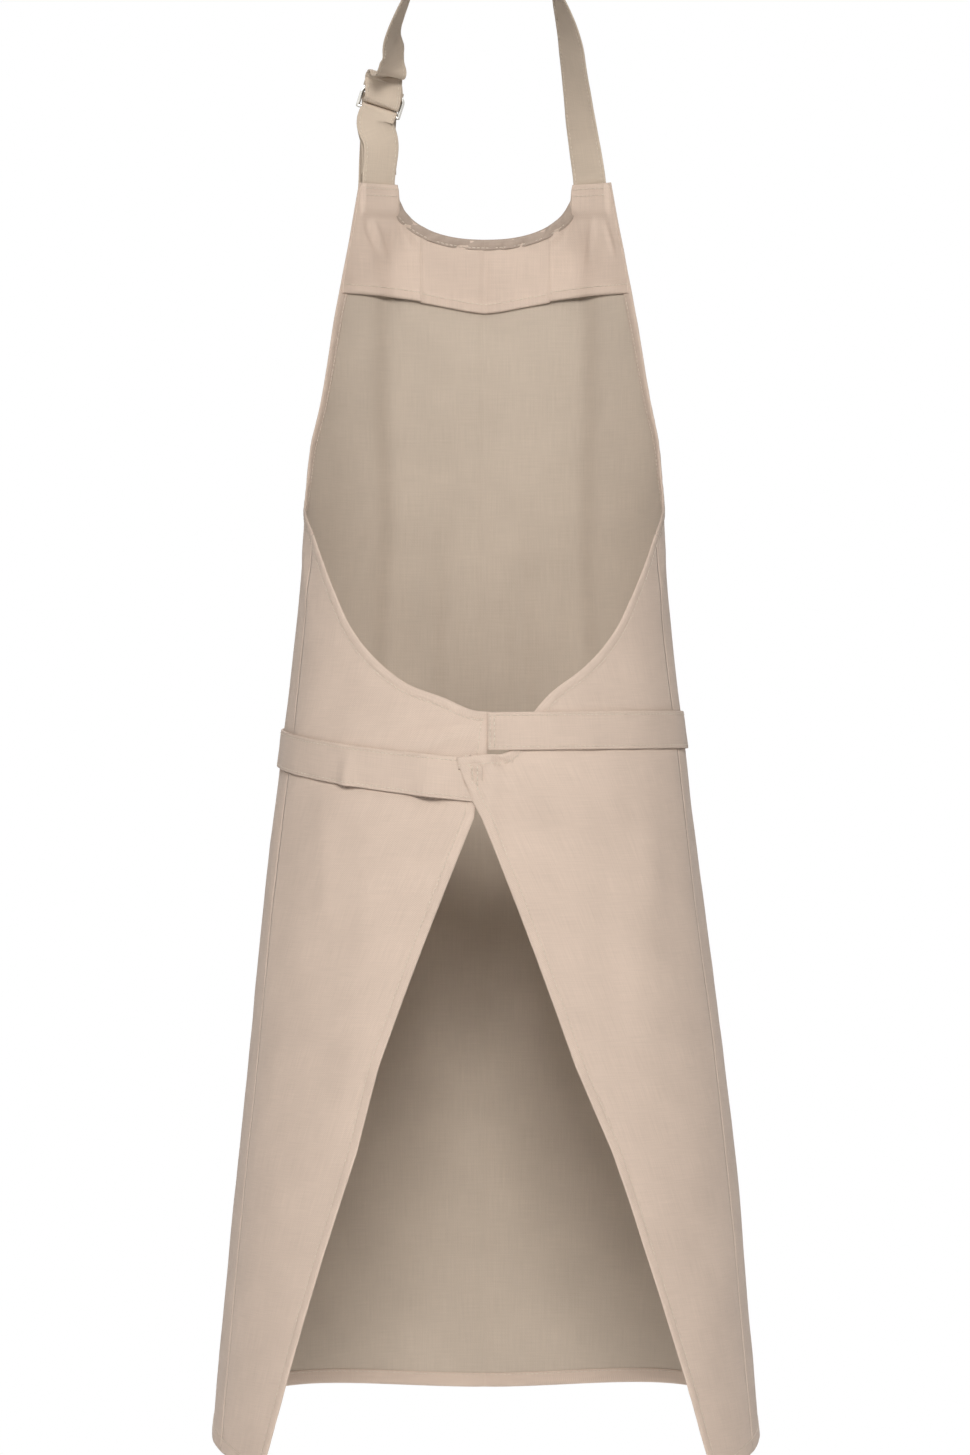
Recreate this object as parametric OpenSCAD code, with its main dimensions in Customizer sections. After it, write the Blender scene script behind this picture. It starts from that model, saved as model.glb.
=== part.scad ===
// Full-length bib apron in its worn shape: the cloth wraps an unseen wearer, the back panels
// cross at the waist, and an adjustable strap closes a loop over the nape of the neck.
// X runs to the wearer's right hand seen from behind, +Y to the wearer's front, +Z up.

/* [Cloth] */
// Height from the front hem to the shoulder edge of the bib
bib_h = 898; // [880:1:920]
// Height of the waist, where the ties run
waist_h = 494; // [485:1:505]
// Height of the top of the back opening
apex_h = 441; // [435:1:445]
// Half the apron's width at the waist
waist_half_w = 143; // [138:0.5:150]
// Half the apron's width at the hem
hem_half_w = 198; // [185:0.5:215]
// Half the apron's depth at the waist
waist_half_d = 105; // [98:0.5:115]
// Half the apron's depth at the hem
hem_half_d = 170; // [155:0.5:185]
// Thickness that the cloth is given
cloth_t = 1.0; // [0.8:0.1:1.2]
// How far the neckline dips below the shoulder edge
neck_dip = 40; // [30:1:50]
// Half the width of the neckline
neck_half_w = 65; // [55:1:72]
// How far the back hem corners hang below the front hem
corner_drop = 35; // [20:1:45]

/* [Hems] */
// Width of the sewn hems and of the neckline binding
hem_w = 7; // [5:0.5:9]
// Width of the hem along the bottom edge
bottom_hem_w = 10; // [8:0.5:14]
// Height of the lower edge of the facing at its sides
facing_h = 814; // [805:1:825]

/* [Straps and ties] */
// Width of the neck strap and of the waist ties
strap_w = 27; // [24:0.5:30]
// Height of the middle of the strap at the nape
nape_h = 1072; // [1060:1:1085]
// Length of the loose strap end below the rings
tail_len = 125; // [100:1:150]
// Length of each hanging end of the bow
bow_end_len = 215; // [150:1:260]

/* [D-rings] */
// Width of the opening of a ring
ring_inner_w = 29; // [29:0.1:32]
// Radius of the ring wire
wire_r = 1.25; // [1:0.05:1.4]
// Tilt of the rings, left end up
ring_tilt = 18; // [0:1:25]

/* [Hidden] */

gap = 0.3;             // clear space between layers of cloth
hem_gap = 0.6;         // clear space between a hem and the cloth that it clasps
hem_t = 0.6;           // thickness of a hem's turned cloth
layer = cloth_t + gap; // one layer of cloth and its clear space
panel_gap = 0.4;       // clear space between panels that meet edge to edge
fold_gap = 2;          // clear space between a back panel and the flap below it
fold_angle = 108;      // where the back flaps begin to swing, measured round from the front
fold_top_h = 180;      // height of the fold's upper end there
fold_slope = 3.2;      // rise of the flap's upper boundary for each degree further round
shoulder_angle = 45;   // outer end of the shoulder edge
seam_angle = 21;       // folds that part the facing in three
lap_from = 174;        // where the right tip starts to rise over the left panel and its own tie
lap_over = 5;          // degrees that the rise takes
lap_lift = 3.7;        // height of the rise
left = -1;
right = 1;
cloth_colour = [0.80, 0.73, 0.66];
strap_colour = [0.78, 0.73, 0.66];
metal_colour = [0.72, 0.71, 0.68];
thread_colour = [0.84, 0.79, 0.72];

// ---- the wearer's shape: half width and half depth at each height above the front hem ----
hip_bulge = 3;

function below_waist(h) = (waist_h - h) / waist_h;
function half_w(h) = h < waist_h
    ? waist_half_w + (hem_half_w - waist_half_w) * below_waist(h)
        + hip_bulge * sin(180 * below_waist(h))
    : lookup(h, [[waist_h, waist_half_w], [550, 136], [590, 131.8], [620, 129.6], [646, 128.8],
        [672, 129.6], [700, 131.2], [750, 133.2], [800, 134], [850, 132.8], [bib_h, 130]]);
function half_d(h) = h < waist_h
    ? waist_half_d + (hem_half_d - waist_half_d) * below_waist(h)
    : lookup(h, [[waist_h, waist_half_d], [510, 103.4], [530, 102.2], [555, 101.7], [585, 102.2],
        [620, 103.8], [660, 106], [700, 107.8], [735, 108.6], [770, 108], [805, 105.9],
        [840, 103], [bib_h, 98]]);

// A point of the cloth: height h, angle round from the front, offset outwards
function skin(h, angle, offset) = [(half_w(h) + offset) * sin(angle),
    (half_d(h) + offset) * cos(angle), h - nape_h];
function mix(a, b, t) = a + (b - a) * t;
function clamp01(t) = max(0, min(1, t));
function smooth(t) = let (c = clamp01(t)) c * c * (3 - 2 * c);

// ---- the outline of the cut, as heights against angle ----
armhole = [[shoulder_angle, bib_h], [49, 850], [54.6, 800], [61.5, 750], [74, 700], [79, 680],
    [86, 661], [98, 649], [107.5, 636], [114.3, 622], [125.5, 594], [136, 565], [150, 537],
    [156, 528], [168, 517], [177, 508], [182, 507]];
neck_power = 2.3;

function neckline(angle) = let (t = abs(half_w(bib_h) * sin(angle)) / neck_half_w)
    t >= 1 ? bib_h
    : bib_h - neck_dip * pow(1 - pow(t, neck_power), 1 / neck_power);
function top_edge(angle) = abs(angle) < shoulder_angle
    ? neckline(angle)
    : lookup(abs(angle), armhole);
function bottom_edge(angle) = -corner_drop * pow(abs(angle) / 126, 3.5);

// Inner edge of a back flap: half the opening at a height, pushed left near its top
opening_slope = 0.41;
opening_curve = 0.00015;
opening_shift = 5;
function opening(h) = let (d = apex_h - h) opening_slope * d - opening_curve * d * d;
function shift(h) = opening_shift * clamp01((h - 199) / 60);
function flap_edge(h, side) = 180 - asin((opening(h) - side * shift(h)) / half_w(h));
function fold_edge(h) = max(fold_angle, fold_angle + (h - fold_top_h) / fold_slope);

// ---- solids made from a map of the cloth ----
function flip_if(mirrored, faces) = mirrored ? [for (f = faces) [f[3], f[2], f[1], f[0]]] : faces;
function triangles(quads) = [for (q = quads, t = [[q[0], q[1], q[2]], [q[0], q[2], q[3]]]) t];
function shell_faces(rows, cols) = let (n = rows * cols) concat(
    [for (i = [0:rows - 2], j = [0:cols - 2])
        let (a = i * cols + j) [a, a + 1, a + cols + 1, a + cols]],
    [for (i = [0:rows - 2], j = [0:cols - 2])
        let (a = n + i * cols + j) [a + cols, a + cols + 1, a + 1, a]],
    [for (j = [0:cols - 2]) [j + n, j + 1 + n, j + 1, j]],
    [for (j = [0:cols - 2])
        let (a = (rows - 1) * cols + j) [a, a + 1, a + 1 + n, a + n]],
    [for (i = [0:rows - 2]) let (a = i * cols) [a, a + cols, a + cols + n, a + n]],
    [for (i = [0:rows - 2])
        let (a = (i + 1) * cols - 1) [a + n, a + cols + n, a + cols, a]]);

// A sheet: at(u, v) gives [height, angle, offset of its inner face]
module sheet(at, across, up, side = right) {
    points = [for (face = [0, cloth_t], i = [0:up], j = [0:across])
        let (p = at(j / across, i / up)) skin(p[0], side * p[1], p[2] + face)];
    polyhedron(points, triangles(flip_if(side == right, shell_faces(up + 1, across + 1))));
}

// Closed tube of quads through sections of equal length, with its two end caps
function tube_faces(stations, corners, caps) = concat(
    [for (i = [0:stations - 2], k = [0:corners - 1])
        let (a = i * corners, k2 = (k + 1) % corners)
        [a + k, a + corners + k, a + corners + k2, a + k2]],
    caps,
    [for (c = caps) [for (m = [3:-1:0]) c[m] + (stations - 1) * corners]]);

// A folded hem: a U that clasps the cloth along at(t) = [height, angle, inner, outer face]
hem_caps = [[0, 1, 2, 7], [7, 2, 3, 6], [6, 3, 4, 5]];
step = 0.002;
function arc_per_degree(h) = (half_w(h) + half_d(h)) / 2 * PI / 180;
module hem(at, stations, width, side = right, flip = 1) {
    points = [for (i = [0:stations - 1])
        let (
            t = i / (stations - 1),
            p = at(t),
            ahead = at(min(1, t + step)),
            back = at(max(0, t - step)),
            scale_s = arc_per_degree(p[0]),
            dh = ahead[0] - back[0],
            ds = (ahead[1] - back[1]) * scale_s,
            len = norm([dh, ds]),
            in_h = -flip * ds / len,
            in_s = flip * dh / len / scale_s,
            lip = p[3] + hem_gap,
            under = p[2] - hem_gap,
            turn = -0.5,
            over = [[width, lip], [width, lip + hem_t], [turn - hem_t, lip + hem_t],
                [turn - hem_t, under - hem_t], [width, under - hem_t], [width, under],
                [turn, under], [turn, lip]])
        for (c = over) skin(p[0] + c[0] * in_h, side * (p[1] + c[0] * in_s), c[1])];
    polyhedron(points,
        triangles(flip_if(side * flip == -1, tube_faces(stations, 8, hem_caps))));
}

// A strap: a flat band through smoothed points, its width along the hints
function unit(v) = v / norm(v);
function spline(pts, t) = let (
        n = len(pts) - 1,
        i = min(floor(t * n), n - 1),
        f = t * n - i,
        p0 = pts[max(i - 1, 0)], p1 = pts[i], p2 = pts[i + 1], p3 = pts[min(i + 2, n)])
    0.5 * (2 * p1 + (p2 - p0) * f + (2 * p0 - 5 * p1 + 4 * p2 - p3) * f * f
        + (3 * p1 - p0 - 3 * p2 + p3) * f * f * f);
module band(path, hints, width = strap_w, per = 4, from = 0, to = 1) {
    stations = max(2, ceil((len(path) - 1) * per * (to - from))) + 1;
    points = [for (i = [0:stations - 1])
        let (
            t = mix(from, to, i / (stations - 1)),
            along = unit(spline(path, min(1, t + step)) - spline(path, max(0, t - step))),
            hint = spline(hints, t),
            across = unit(hint - (hint * along) * along) * width / 2,
            through = cross(unit(across), along) * cloth_t / 2,
            c = spline(path, t))
        for (s = [across + through, across - through, -across - through, -across + through])
            c + s];
    polyhedron(points, triangles(tube_faces(stations, 4, [[0, 1, 2, 3]])));
}

// ---- main cloth ----
module bib_front() color(cloth_colour)
    sheet(function(u, v) let (angle = mix(-shoulder_angle, shoulder_angle, u))
        [mix(waist_h + panel_gap, top_edge(angle) - 0.4, v), angle, 0], 36, 14);

module skirt_front() color(cloth_colour)
    sheet(function(u, v) let (angle = mix(-shoulder_angle, shoulder_angle, u))
        [mix(bottom_edge(angle), waist_h, v), angle, 0], 16, 10);

module side_panel(side) color(cloth_colour)
    sheet(function(u, v)
        let (angle = mix(shoulder_angle + 0.2, fold_angle - 0.3, pow(u, 1.6)))
        [mix(bottom_edge(angle), top_edge(angle) - 0.4, v * (1.4 - 0.4 * v)), angle, 0],
        20, 24, side);

module side_panel_left() side_panel(left);
module side_panel_right() side_panel(right);

// The back panels: lower and upper outline against angle, from the side to the tip
back_from = fold_angle - 0.05;
left_fold_end = 167.8;
right_fold_end = 172.6;
function fold_line(end) = [[back_from, fold_top_h], [end, fold_top_h + (end - back_from) * fold_slope]];
left_low = concat(fold_line(left_fold_end),
    [[173.5, 410], [177.3, apex_h], [180.5, waist_h - strap_w / 2]]);
left_tip = 181.6;
right_low = concat(fold_line(right_fold_end), [[178.5, 420], [182.7, apex_h + 2]]);
right_high = [[163, 516], [165.4, 509.5], [173, 479], [187.6, 475]];
right_tip = 187.6;

module back_panel_left() color(cloth_colour)
    sheet(function(u, v) let (
            low_angle = mix(back_from, 180.5, u),
            high_angle = mix(back_from, left_tip, u),
            low = lookup(low_angle, left_low) + fold_gap,
            high = top_edge(high_angle) - 0.4)
        [mix(low, high, v), mix(low_angle, high_angle, v), 0], 28, 9, left);

function lap_rise(angle) = lap_lift * smooth((angle - lap_from) / lap_over);
module back_panel_right() color(cloth_colour)
    sheet(function(u, v) let (
            low_angle = mix(back_from, 182.7, u),
            high_angle = mix(back_from, right_tip, u),
            low = lookup(low_angle, right_low) + fold_gap,
            high = high_angle < 163 ? top_edge(high_angle) - 0.4 : lookup(high_angle, right_high),
            angle = mix(low_angle, high_angle, v))
        [mix(low, high, v), angle, lap_rise(angle)], 32, 9, right);

module flap(side) color(cloth_colour)
    sheet(function(u, v) let (
            row_h = mix(-corner_drop, side == left ? 366 : 384, v),
            angle = mix(fold_edge(row_h), flap_edge(row_h, side) - 0.3, u))
        [row_h + max(0, bottom_edge(angle) + corner_drop) * pow(1 - v, 3), angle, 0], 14, 20, side);

module flap_left() flap(left);
module flap_right() flap(right);

// ---- facing and hems: the ends of the neck strap are held between facing and bib ----
facing_offset = -layer;
strap_room = 2.8;
facing_sag = 10;
facing_end = 52;
function facing_low(angle) = facing_h - facing_sag * smooth(1.5 - abs(angle) / seam_angle);

module facing_centre() color(cloth_colour)
    sheet(function(u, v) let (angle = mix(-seam_angle + 0.1, seam_angle - 0.1, u))
        [mix(facing_low(angle), neckline(angle) - 0.1, v), angle, facing_offset], 20, 3);

module facing_side(side) color(cloth_colour)
    sheet(function(u, v) let (angle = mix(seam_angle + 0.1, facing_end, u))
        [mix(facing_low(angle), top_edge(angle) - 0.5, v), angle, facing_offset
            - strap_room * smooth(v / 0.5) * smooth((angle - 28) / 2)], 24, 5, side);

module facing_left() facing_side(left);
module facing_right() facing_side(right);

module neckline_binding() color(cloth_colour)
    hem(function(t) let (angle = mix(-25.2, 25.2, t)) [neckline(angle), angle, facing_offset,
        cloth_t], 41, hem_w, right, 1);

bib_hem_from = 53.5;
bib_hem_to = 97.5;
module bib_hem(side) color(cloth_colour)
    hem(function(t) let (angle = mix(bib_hem_from, bib_hem_to, t))
        [top_edge(angle), angle, 0, cloth_t], 18, hem_w, side, 1);

module bib_hem_left() bib_hem(left);
module bib_hem_right() bib_hem(right);

module armhole_hem(side, to) color(cloth_colour)
    hem(function(t) let (angle = mix(bib_hem_to + 1, to, t))
        [top_edge(angle), angle, 0, cloth_t], 24, hem_w, side, 1);

module armhole_hem_left() armhole_hem(left, 172.5);
module armhole_hem_right() armhole_hem(right, 154);

module bottom_hem_front() color(cloth_colour)
    hem(function(t) let (angle = mix(-44.8, 44.8, t))
        [bottom_edge(angle), angle, 0, cloth_t], 18, bottom_hem_w, right, -1);

module bottom_hem_side(side) color(cloth_colour)
    hem(function(t) let (angle = mix(45.2, fold_angle - 0.5, t))
        [bottom_edge(angle), angle, 0, cloth_t], 14, bottom_hem_w, side, -1);

module bottom_hem_left() bottom_hem_side(left);
module bottom_hem_right() bottom_hem_side(right);

module flap_bottom_hem(side) color(cloth_colour)
    hem(function(t) let (angle = mix(fold_angle + 0.3, flap_edge(-corner_drop, side) - 3.2, t))
        [bottom_edge(angle), angle, 0, cloth_t], 8, bottom_hem_w, side, -1);

module flap_bottom_hem_left() flap_bottom_hem(left);
module flap_bottom_hem_right() flap_bottom_hem(right);

module flap_hem(side) color(cloth_colour)
    hem(function(t) let (h = mix(-corner_drop + 0.5, 340, t))
        [h, flap_edge(h, side), 0, cloth_t], 20, hem_w, side, -1);

module flap_hem_left() flap_hem(left);
module flap_hem_right() flap_hem(right);

// ---- waist ties: they cross at the back and run round to the knot at the front ----
tie_end_angle = 4.6;
tie_front_h = 489;
tie_lift = cloth_t + 1;
tie_rows = 3;

module waist_tie(side, from, heights, half) color(strap_colour)
    sheet(function(u, v) let (angle = mix(tie_end_angle, from, u))
        [lookup(angle, heights) + mix(-1, 1, v) * lookup(angle, half), angle, tie_lift],
        44, tie_rows, side);

// The tie of the right tip runs to the left side, and the other way round
module waist_tie_left() waist_tie(left, 179.4,
    [[0, tie_front_h], [90, 482], [172, 461], [180, 459]],
    [[90, strap_w / 2], [172, 15.3], [180, 15.6]]);
module waist_tie_right() waist_tie(right, 180.5,
    [[0, tie_front_h], [90, 495], [184, waist_h]],
    [[0, strap_w / 2], [184, strap_w / 2]]);

// Stitched crosses that hold ties and straps, as flat patches of thread
stitch_t = 0.5;
module stitch_patch(side, angle, h, lift, wide, tall) color(thread_colour)
    for (row = [-1, 1])
        polyhedron(
            [for (f = [0, stitch_t], i = [0, 1], j = [0, 1])
                skin(h + mix(-tall, tall, i) / 2, side * (angle + row * wide / 2 + mix(-0.25, 0.25, j)),
                    lift + f)],
            triangles(flip_if(side == right, shell_faces(2, 2))));

module tie_stitches_left()
    stitch_patch(left, 177.5, 459, lap_lift + cloth_t + 0.1, 1.4, 22);
module tie_stitches_right()
    stitch_patch(right, 179.2, waist_h, tie_lift + cloth_t + 0.1, 1.4, 20);
strap_stitch_h = bib_h - 12;
strap_angle = 36.4;
module strap_stitches_left()
    stitch_patch(left, strap_angle, strap_stitch_h, cloth_t + 0.1, 8, 3);
module strap_stitches_right()
    stitch_patch(right, strap_angle, strap_stitch_h, cloth_t + 0.1, 8, 3);

// ---- bow at the front ----
knot_y = half_d(tie_front_h) + 9;
knot_z = tie_front_h - nape_h;
module bow_knot() color(strap_colour)
    translate([0, knot_y, knot_z])
        hull()
            for (x = [-5, 5], z = [-6, 6])
                translate([x, 0, z]) sphere(r = 6, $fn = 24);

module bow_loop(side) color(strap_colour)
    band([for (p = [[12, -4, 0], [40, -3, -6], [72, -5, -17], [84, 0, -22], [74, 6, -19],
            [42, 7, -8], [12, 3, 0]])
        [side * p[0], knot_y + p[1] + 0.02 * p[0], knot_z + p[2]]],
        [for (i = [0:6]) [side * 0.25, 0, 1]], strap_w - 4, 4);

module bow_loop_left() bow_loop(left);
module bow_loop_right() bow_loop(right);

tie_end_top = tie_front_h - 16;
module tie_end(side) color(strap_colour)
    band([for (k = [0:4])
        let (h = tie_end_top - k / 4 * bow_end_len)
        [side * (15 + 3 * k), half_d(h) + 7, h - nape_h]],
        [for (k = [0:4]) [1, -side * 0.1, -side * 0.08]], strap_w, 3);

module tie_end_left() tie_end(left);
module tie_end_right() tie_end(right);

// ---- neck strap ----
function at_height(p) = [p[0], p[1], p[2] - nape_h];
function at_heights(pts) = [for (p = pts) at_height(p)];
right_route = at_heights([[77, 78.2, 879], [77, 76, 900], [71, 66, 939], [66, 48, 972], [60, 20, 1006],
    [47, -22, 1045]]);
right_turn = [[1, -0.56, 0], [1, -0.54, 0], [0.8, -0.5, -0.2], [0.7, -0.6, -0.3],
    [0.6, -0.65, -0.4], [0.15, -0.8, -0.6]];
nape_route = at_heights([[47, -22, 1045], [28, -46, 1064], [0, -56, 1072], [-28, -46, 1064],
    [-47, -22, 1045]]);
nape_turn = [[0.15, -0.8, -0.6], [0.05, -0.65, -0.75], [0, -0.5, -0.87], [-0.05, -0.65, -0.75],
    [-0.15, -0.8, -0.6]];

module neck_strap_right() color(strap_colour) band(right_route, right_turn, strap_w, 5, 0, 0.993);
module neck_strap_nape() color(strap_colour) band(nape_route, nape_turn, strap_w, 7);

// ---- D-rings and the strap through them ----
// Local axes at the bars: along the bar, up the strap, and out from the wearer
ring_h = 951;
ring_at = at_height([-79, 77, ring_h]);
strap_aside = 0.7;
bar_dir = [cos(ring_tilt), 0, -sin(ring_tilt)];
up_lean = -0.06;
up_dir = unit([sin(ring_tilt), up_lean, cos(ring_tilt)]);
out_dir = cross(up_dir, bar_dir);
ring_off = wire_r + 0.8;
ring_half_w = ring_inner_w / 2 + wire_r;
ring_up = 15.25;
corner_r = 5;
function by_ring(out, up, aside = 0) = ring_at + out * out_dir + up * up_dir
    + (strap_aside + aside) * bar_dir;

module ring(out) color(metal_colour)
    multmatrix([for (i = [0:2]) [bar_dir[i], up_dir[i], -out_dir[i],
        by_ring(out, 0, -strap_aside)[i]]]) {
        rotate([0, 90, 0]) cylinder(r = wire_r, h = 2 * ring_half_w, center = true, $fn = 32);
        translate([0, ring_up, 0]) rotate([0, 90, 0])
            cylinder(r = wire_r, h = 2 * (ring_half_w - corner_r), center = true, $fn = 32);
        for (s = [-1, 1]) {
            translate([s * ring_half_w, 0, 0]) sphere(r = wire_r, $fn = 24);
            translate([s * ring_half_w, 0, 0]) rotate([-90, 0, 0])
                cylinder(r = wire_r, h = ring_up - corner_r, $fn = 32);
            translate([s * (ring_half_w - corner_r), ring_up - corner_r, 0])
                rotate([0, 0, s == 1 ? 0 : 90])
                    rotate_extrude(angle = 90, $fn = 64)
                        translate([corner_r, 0]) circle(r = wire_r, $fn = 24);
        }
    }

module ring_inner() ring(-ring_off);
module ring_outer() ring(ring_off);

// The stub rises from the shoulder, goes over both bars and comes down outside
wrap = ring_off + wire_r + cloth_t / 2 + 0.3;
stub_foot = at_heights([[-77, 78.2, 876], [-77, 76.5, 900], [-78, 75, 925]]);
stub_route = concat(stub_foot,
    [by_ring(-wrap + 0.4, -9), by_ring(-wrap, 0), by_ring(-2.2, 2.5),
     by_ring(2.2, 2.5), by_ring(wrap, 0), by_ring(wrap - 0.4, -9)],
    at_heights([[-78.6, 79.5, 925], [-78.4, 80.3, 905]]));
stub_turn = [for (i = [0:10]) i < 2 ? [1, 0.55, 0] : i == 2 || i > 8 ? [1, 0.35, -0.1] : bar_dir];

module strap_stub() color(strap_colour) band(stub_route, stub_turn, strap_w, 4);

// In through both rings, back over the outer bow, through the inner ring, up and over
upper_aside = -4;
thread = [[-5.7, 26, upper_aside], [-5.7, 10, 0], [-4.4, 5.8, 0], [-1.6, 4.6, 0], [1.6, 4.6, 0],
    [4.3, 6.4, 0], [5.1, 11, 0], [5, 15.5, 0], [2.7, 17.8, 0], [0.5, 17.2, 0], [0, 15.25, 0],
    [-0.3, 12.6, 0], [-1.5, 10.4, 0], [-3.2, 10.8, 0], [-4.2, 14, 0], [-4.2, 18.5, upper_aside / 2],
    [-2.4, 22.6, upper_aside], [1.6, 24, upper_aside], [5.2, 21, upper_aside], [6.3, 16, upper_aside]];
thread_route = [for (p = thread) by_ring(p[0], p[1], p[2])];
thread_turn = [for (p = thread) bar_dir];
module strap_threaded() color(strap_colour) band(thread_route, thread_turn, strap_w, 3);

left_route = concat([by_ring(-5.9, 28.6, upper_aside)],
    at_heights([[-68.5, 36, 990], [-65.5, 17, 1010], [-47, -22, 1045]]));
left_turn = [bar_dir, [0.75, 1, -0.1], [0.35, 1.1, 0.45], [0.15, 0.8, 0.6]];
module neck_strap_left() color(strap_colour) band(left_route, left_turn, strap_w, 6, 0.03, 0.993);

// The loose end hangs outside the bib, and slides as the strap is let out
tail_dir = unit([-0.06, 0.08, -1]);
tail_out = 12;
tail_top = by_ring(tail_out, 14, upper_aside);
tail_split = 70;
tail_turn = [[1, 0.2, -0.2], [1, 0.5, 0]];
module strap_tail_upper() color(strap_colour)
    band([tail_top, tail_top + tail_dir * tail_split], tail_turn, strap_w, 5);
module strap_tail_end() color(strap_colour)
    band([tail_top + tail_dir * (tail_split + 0.5), tail_top + tail_dir * (tail_len + 14)],
        [tail_turn[1], tail_turn[1]], strap_w, 4);

bib_front();
skirt_front();
side_panel_left();
side_panel_right();
back_panel_left();
back_panel_right();
facing_centre();
facing_left();
facing_right();
neckline_binding();
bib_hem_left();
bib_hem_right();
armhole_hem_left();
armhole_hem_right();
bottom_hem_front();
bottom_hem_left();
bottom_hem_right();
waist_tie_left();
waist_tie_right();
tie_stitches_left();
tie_stitches_right();
strap_stitches_left();
strap_stitches_right();
strap_stub();
neck_strap_right();
bow_knot();
bow_loop_left();
bow_loop_right();
flap_left();
flap_right();
flap_hem_left();
flap_hem_right();
flap_bottom_hem_left();
flap_bottom_hem_right();
neck_strap_nape();
neck_strap_left();
ring_inner();
ring_outer();
strap_threaded();
strap_tail_upper();
strap_tail_end();
tie_end_left();
tie_end_right();
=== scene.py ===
import math

import bpy
import numpy as np
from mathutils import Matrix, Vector


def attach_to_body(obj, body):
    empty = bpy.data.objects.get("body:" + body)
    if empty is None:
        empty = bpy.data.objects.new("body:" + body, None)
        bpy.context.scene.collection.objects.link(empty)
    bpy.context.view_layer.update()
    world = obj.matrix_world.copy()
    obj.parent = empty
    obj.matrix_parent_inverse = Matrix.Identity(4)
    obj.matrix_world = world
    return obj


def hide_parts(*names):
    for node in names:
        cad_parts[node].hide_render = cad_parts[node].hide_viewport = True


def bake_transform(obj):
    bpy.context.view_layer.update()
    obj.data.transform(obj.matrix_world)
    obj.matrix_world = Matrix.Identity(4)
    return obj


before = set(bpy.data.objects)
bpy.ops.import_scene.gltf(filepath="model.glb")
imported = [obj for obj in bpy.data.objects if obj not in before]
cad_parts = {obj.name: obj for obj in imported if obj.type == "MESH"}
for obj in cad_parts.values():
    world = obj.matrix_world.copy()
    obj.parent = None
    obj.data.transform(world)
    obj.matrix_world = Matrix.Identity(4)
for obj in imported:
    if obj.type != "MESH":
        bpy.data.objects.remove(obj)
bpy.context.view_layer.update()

MM = 0.001

# ---------------------------------------------------------------- camera
# The photograph's view: level, from behind the wearer, four metres away.
FRAME_HEIGHT_MM = 1053.4       # what the frame takes in at the apron's distance
CAMERA_DISTANCE_MM = 4000
CAMERA_Z_MM = -575.4
SENSOR_MM = 36


def make_camera():
    """A level camera that frames the apron's width and height."""
    data = bpy.data.cameras.new("camera")
    data.sensor_width = SENSOR_MM
    data.lens = SENSOR_MM * CAMERA_DISTANCE_MM / FRAME_HEIGHT_MM
    data.clip_end = 50
    camera = bpy.data.objects.new("camera", data)
    bpy.context.scene.collection.objects.link(camera)
    camera.location = (0, -CAMERA_DISTANCE_MM * MM, CAMERA_Z_MM * MM)
    camera.rotation_euler = (math.pi / 2, 0, 0)
    bpy.context.scene.camera = camera


make_camera()

# ---------------------------------------------------------------- the cut and the worn shape, in mm
BIB_H = 898                    # shoulder edge above the front hem
WAIST_H = 494
APEX_H = 441                   # top of the back opening
NAPE_H = 1072                  # the row's origin is at this height
WAIST_HALF_W, HEM_HALF_W = 143, 198
WAIST_HALF_D, HEM_HALF_D = 105, 170
HIP_BULGE = 3
NECK_DIP, NECK_HALF_W, NECK_POWER = 40, 65, 2.3
CORNER_DROP = 35
CLOTH_T = 0.8
TIE_T = 1.6
STRAP_W = 27
FOLD_ANGLE = 108               # the back flaps begin to swing here, measured round from the front
SHOULDER_ANGLE = 45
SEAM_ANGLE = 21                # folds that part the facing in three
LEFT, RIGHT = -1, 1
SIDES = {"left": LEFT, "right": RIGHT}


def curve(x, knots):
    """Smooth curve through (x, y) knots."""
    xs, ys = np.array(knots, float).T
    slopes = np.gradient(ys, xs)
    x = np.clip(np.asarray(x, float), xs[0], xs[-1])
    i = np.clip(np.searchsorted(xs, x, side="right") - 1, 0, len(xs) - 2)
    span = xs[i + 1] - xs[i]
    t = (x - xs[i]) / span
    return (ys[i] * (1 + 2 * t) * (1 - t) ** 2 + slopes[i] * span * t * (1 - t) ** 2
            + ys[i + 1] * t * t * (3 - 2 * t) + slopes[i + 1] * span * t * t * (t - 1))


def smooth(t):
    """Eases from 0 to 1 as t goes from 0 to 1."""
    t = np.clip(t, 0, 1)
    return t * t * (3 - 2 * t)


def mix(a, b, t):
    return a + (b - a) * t


def bump(x, centre, width):
    """A soft ridge, 1 at its centre."""
    return np.exp(-((x - centre) / width) ** 2)


def half_w(h):
    """Half the worn shape's width at a height."""
    down = (WAIST_H - h) / WAIST_H
    skirt = WAIST_HALF_W + (HEM_HALF_W - WAIST_HALF_W) * down + HIP_BULGE * np.sin(np.pi * down)
    bib = curve(h, [(WAIST_H, WAIST_HALF_W), (550, 136), (590, 131.8), (620, 129.6), (646, 128.8),
                    (672, 129.6), (700, 131.2), (750, 133.2), (800, 134), (850, 132.8), (BIB_H, 130)])
    return np.where(h < WAIST_H, skirt, bib)


def half_d(h):
    """Half the worn shape's depth at a height."""
    down = (WAIST_H - h) / WAIST_H
    skirt = WAIST_HALF_D + (HEM_HALF_D - WAIST_HALF_D) * down
    bib = curve(h, [(WAIST_H, WAIST_HALF_D), (510, 103.4), (530, 102.2), (555, 101.7), (585, 102.2),
                    (620, 103.8), (660, 106), (700, 107.8), (735, 108.6), (770, 108), (805, 105.9),
                    (840, 103), (BIB_H, 98)])
    return np.where(h < WAIST_H, skirt, bib)


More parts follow.
